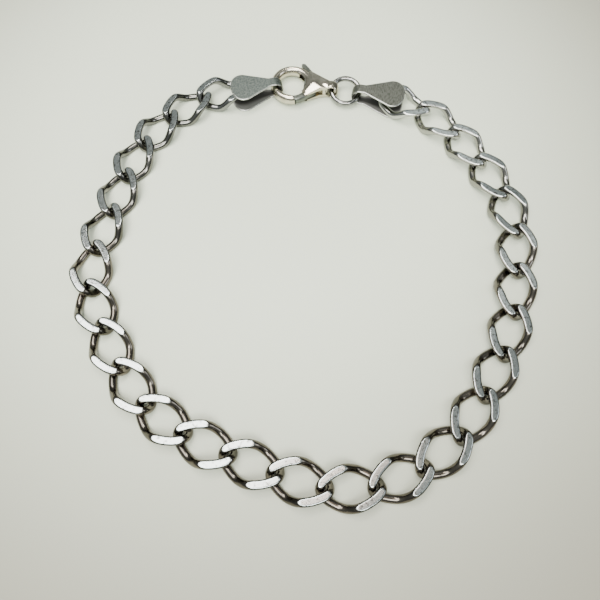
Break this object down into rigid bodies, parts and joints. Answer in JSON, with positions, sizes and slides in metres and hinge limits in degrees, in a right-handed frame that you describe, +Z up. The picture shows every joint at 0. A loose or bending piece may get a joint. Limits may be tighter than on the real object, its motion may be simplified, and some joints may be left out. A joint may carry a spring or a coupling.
{
  "type": "link bracelet",
  "caption": "Flat curb link bracelet lying closed in a loop, with folded end tags, a jump ring and a lobster clasp whose sprung lever opens.",
  "frame": {"origin": "centre of the closed loop's outline, on the surface that it lies on", "axes": "+Z up out of that surface, +Y from the middle of the loop towards the clasp"},
  "size_m": [0.0678, 0.0712, 0.0028],
  "materials": {
    "chain_silver": "polished silver wire with flats ground and brushed",
    "tag_silver": "matte, scratched silver sheet with bright edges",
    "ring_silver": "polished silver wire",
    "clasp_silver": "polished cast silver with a warm tone",
    "lever_silver": "matte silver"
  },
  "bodies": {
    "bracelet": {"link_01": "chain_silver", "link_02": "chain_silver", "link_03": "chain_silver", "link_04": "chain_silver", "link_05": "chain_silver", "link_06": "chain_silver", "link_07": "chain_silver", "link_08": "chain_silver", "link_09": "chain_silver", "link_10": "chain_silver", "link_11": "chain_silver", "link_12": "chain_silver", "link_13": "chain_silver", "link_14": "chain_silver", "link_15": "chain_silver", "link_16": "chain_silver", "link_17": "chain_silver", "link_18": "chain_silver", "link_19": "chain_silver", "link_20": "chain_silver", "link_21": "chain_silver", "link_22": "chain_silver", "link_23": "chain_silver", "link_24": "chain_silver", "link_25": "chain_silver", "link_26": "chain_silver", "link_27": "chain_silver", "tag_claw_side": "tag_silver", "tag_ring_side": "tag_silver", "jump_ring": "ring_silver", "clasp_body": "clasp_silver", "clasp_pin": "lever_silver"},
    "lever": {"clasp_lever": "lever_silver"}
  },
  "joints": [
    {"name": "lever_hinge", "type": "hinge", "parent": "bracelet", "child": "lever", "pos_m": [0.00133, 0.02993, 0.0013], "axis": [0, 0, -1], "range_deg": [0, 20], "stiffness_Nm_per_rad": 0.004, "springref_deg": -8.59}
  ]
}
